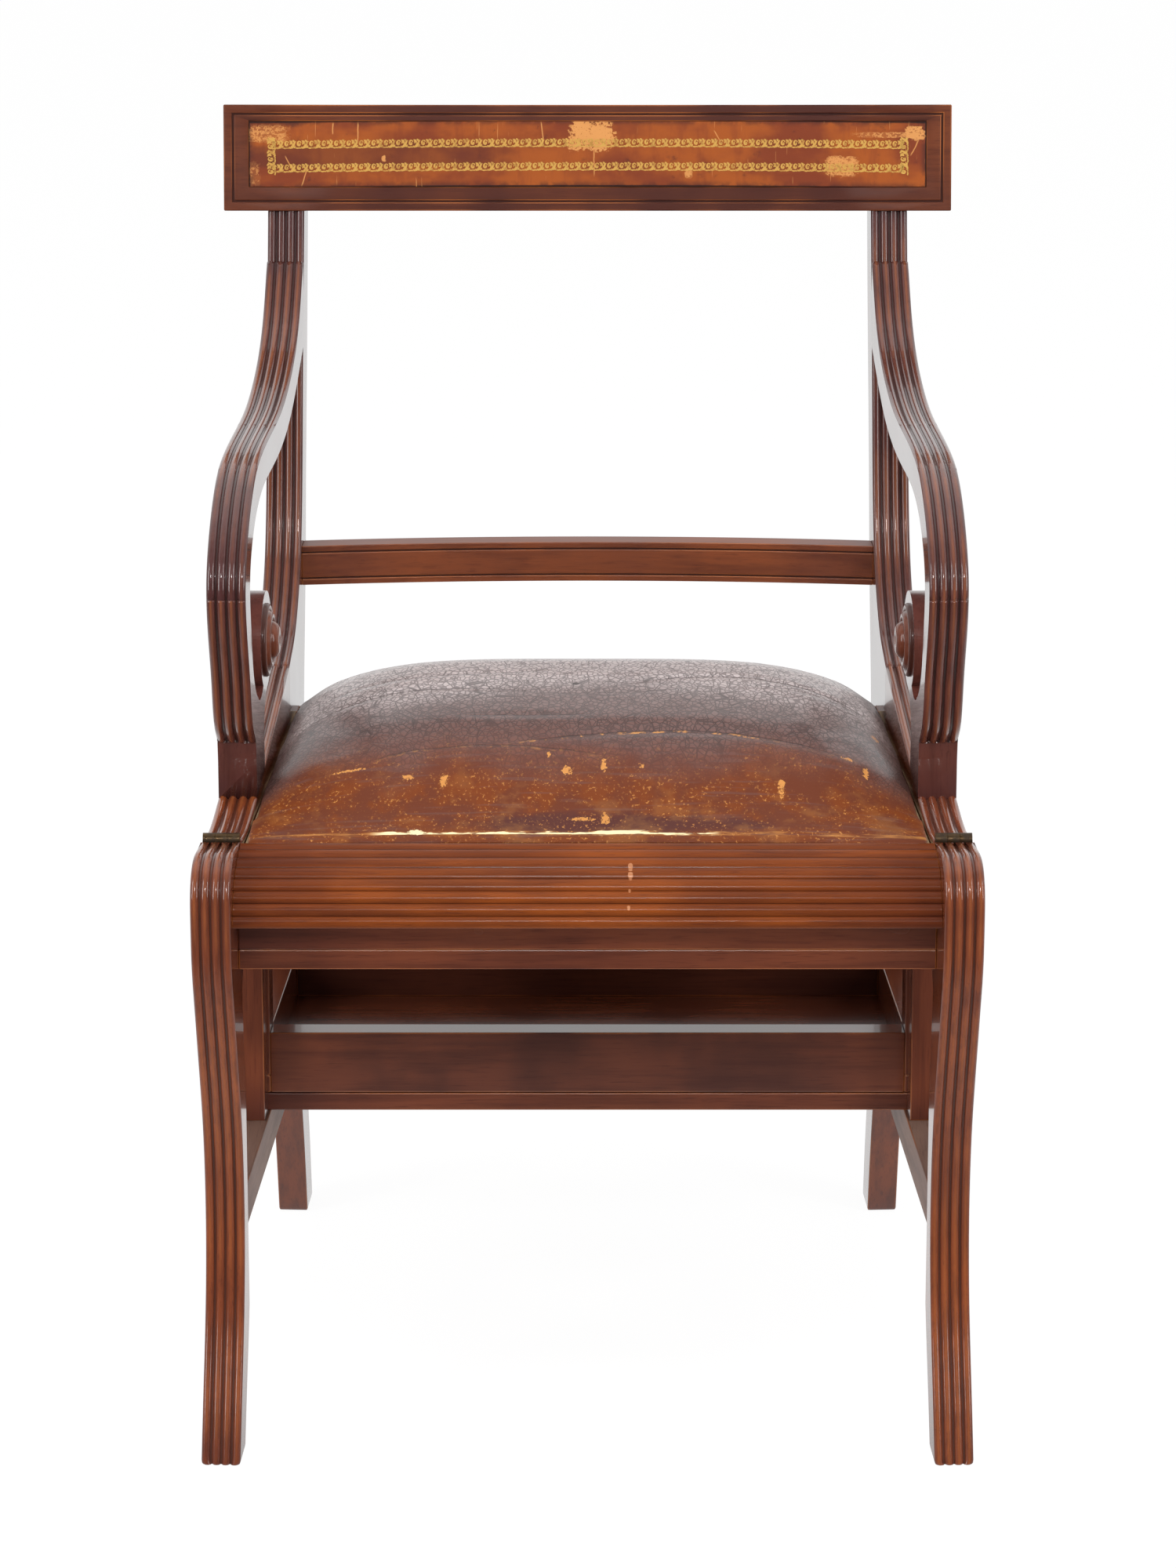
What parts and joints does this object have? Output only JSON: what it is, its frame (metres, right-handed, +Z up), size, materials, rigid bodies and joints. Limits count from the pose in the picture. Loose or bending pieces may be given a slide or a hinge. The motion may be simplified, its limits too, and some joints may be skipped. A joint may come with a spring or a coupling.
{
  "type": "library step chair",
  "caption": "Armchair with reeded sabre legs and scroll arms whose back and seat fold forward on front brass hinges to make a short flight of library steps.",
  "frame": {"origin": "on the floor, in the middle of the chair's width and depth", "axes": "+Z up, +X to the right across the chair as seen from the front, +Y from the front to the back"},
  "size_m": [0.56, 0.6014, 0.889],
  "materials": {
    "mahogany": "glossy reddish-brown french polish with dark glaze in the grooves",
    "secondary_wood": "plain unpolished beech",
    "brass": "dull aged brass",
    "seat_leather": "worn and crackled brown leather",
    "crest_leather": "dark brown leather with a gilt tooled band",
    "webbing": "woven jute"
  },
  "bodies": {
    "base": {"front_leg_left": "mahogany", "front_leg_right": "mahogany", "rear_leg_lower_left": "mahogany", "rear_leg_lower_right": "mahogany", "side_stretcher_left": "mahogany", "side_stretcher_right": "mahogany", "mid_post_left": "mahogany", "mid_post_right": "mahogany", "hinge_base_leaf_left": "brass", "hinge_base_leaf_right": "brass", "front_rail": "mahogany", "front_fascia": "mahogany", "tread_first": "mahogany", "tread_second": "mahogany", "lower_rear_rail": "mahogany", "hinge_pins": "brass", "hinge_base_screws": "brass"},
    "folding_top": {"side_rail_left": "mahogany", "side_rail_right": "mahogany", "back_post_left": "mahogany", "back_post_right": "mahogany", "rear_leg_upper_left": "mahogany", "rear_leg_upper_right": "mahogany", "arm_left": "mahogany", "arm_right": "mahogany", "arm_support_left": "mahogany", "arm_support_right": "mahogany", "arm_rosettes_left": "mahogany", "arm_rosettes_right": "mahogany", "folding_mid_post_left": "mahogany", "folding_mid_post_right": "mahogany", "tray_side_apron_left": "mahogany", "tray_side_apron_right": "mahogany", "hinge_top_leaf_left": "brass", "hinge_top_leaf_right": "brass", "seat_front_rail": "secondary_wood", "seat_rear_rail": "mahogany", "corner_blocks": "secondary_wood", "seat_frame": "secondary_wood", "seat_webbing": "webbing", "seat_cushion": "seat_leather", "crest_rail": "mahogany", "crest_leather": "crest_leather", "cross_rail": "mahogany", "tread_third": "mahogany", "tread_fourth": "mahogany", "tray_front_apron": "mahogany", "tray_rear_apron": "mahogany", "hinge_top_screws": "brass"}
  },
  "joints": [
    {"name": "top_fold", "type": "hinge", "parent": "base", "child": "folding_top", "pos_m": [0, -0.226, 0.4445], "axis": [1, 0, 0], "range_deg": [0, 180]}
  ]
}
